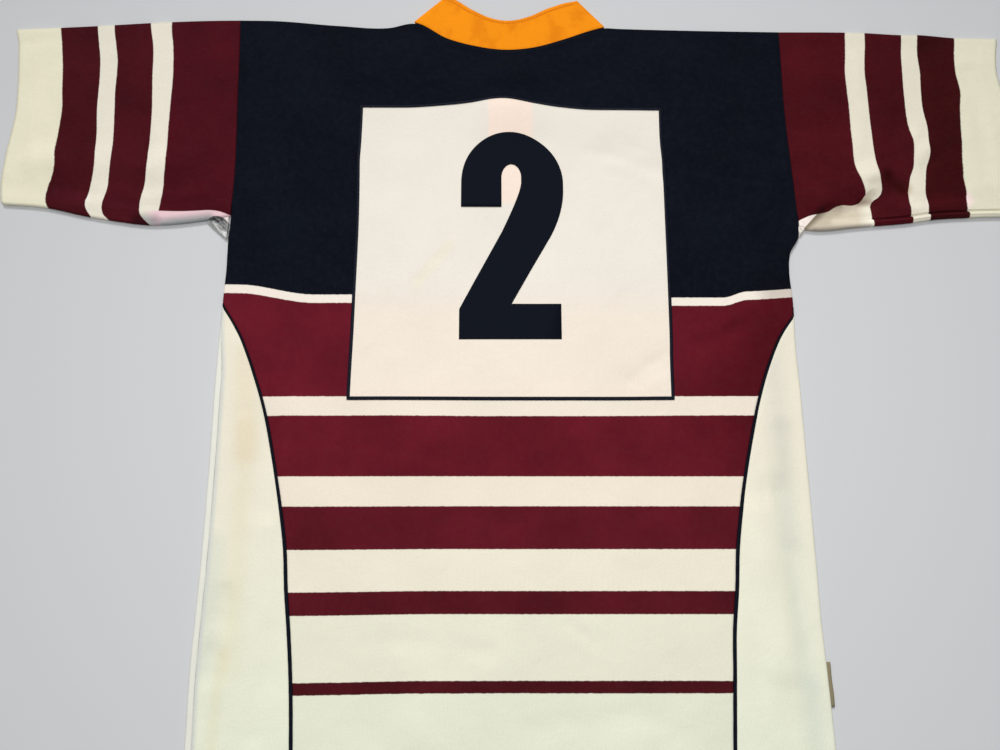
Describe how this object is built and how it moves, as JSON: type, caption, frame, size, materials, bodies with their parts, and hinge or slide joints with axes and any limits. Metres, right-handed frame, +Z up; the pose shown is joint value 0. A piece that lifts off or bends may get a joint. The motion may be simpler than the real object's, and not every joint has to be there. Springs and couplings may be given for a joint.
{
  "type": "rugby shirt laid flat",
  "caption": "Long rugby shirt laid flat on its front: hooped back with a dark yoke, side panels, stand collar, striped short sleeves, numbered back patch.",
  "frame": {"origin": "middle of the shirt's outline, on the surface that it lies on", "axes": "+X across the shirt towards its right-hand cuff as seen, +Y from the hem to the collar, +Z up from the surface through the front to the back"},
  "size_m": [1.019, 0.7786, 0.0109],
  "materials": {
    "hooped_jersey": "matt knitted jersey in navy, maroon and cream",
    "cream_jersey": "matt knitted jersey",
    "maroon_jersey": "matt knitted jersey",
    "silver_jersey": "slightly shiny knitted cloth",
    "navy_trim": "matt twill",
    "orange_rib": "matt close knit",
    "label_tape": "woven tape"
  },
  "bodies": {
    "root": {"back_panel": "hooped_jersey", "back_side_left": "cream_jersey", "back_side_right": "cream_jersey", "piping_left": "navy_trim", "piping_right": "navy_trim", "front_panel": "hooped_jersey", "sleeve_left": "maroon_jersey", "sleeve_right": "maroon_jersey", "gusset_left": "silver_jersey", "gusset_right": "cream_jersey", "collar_band": "orange_rib", "number_panel": "cream_jersey", "number_two": "navy_trim", "side_label": "label_tape"}
  },
  "joints": []
}
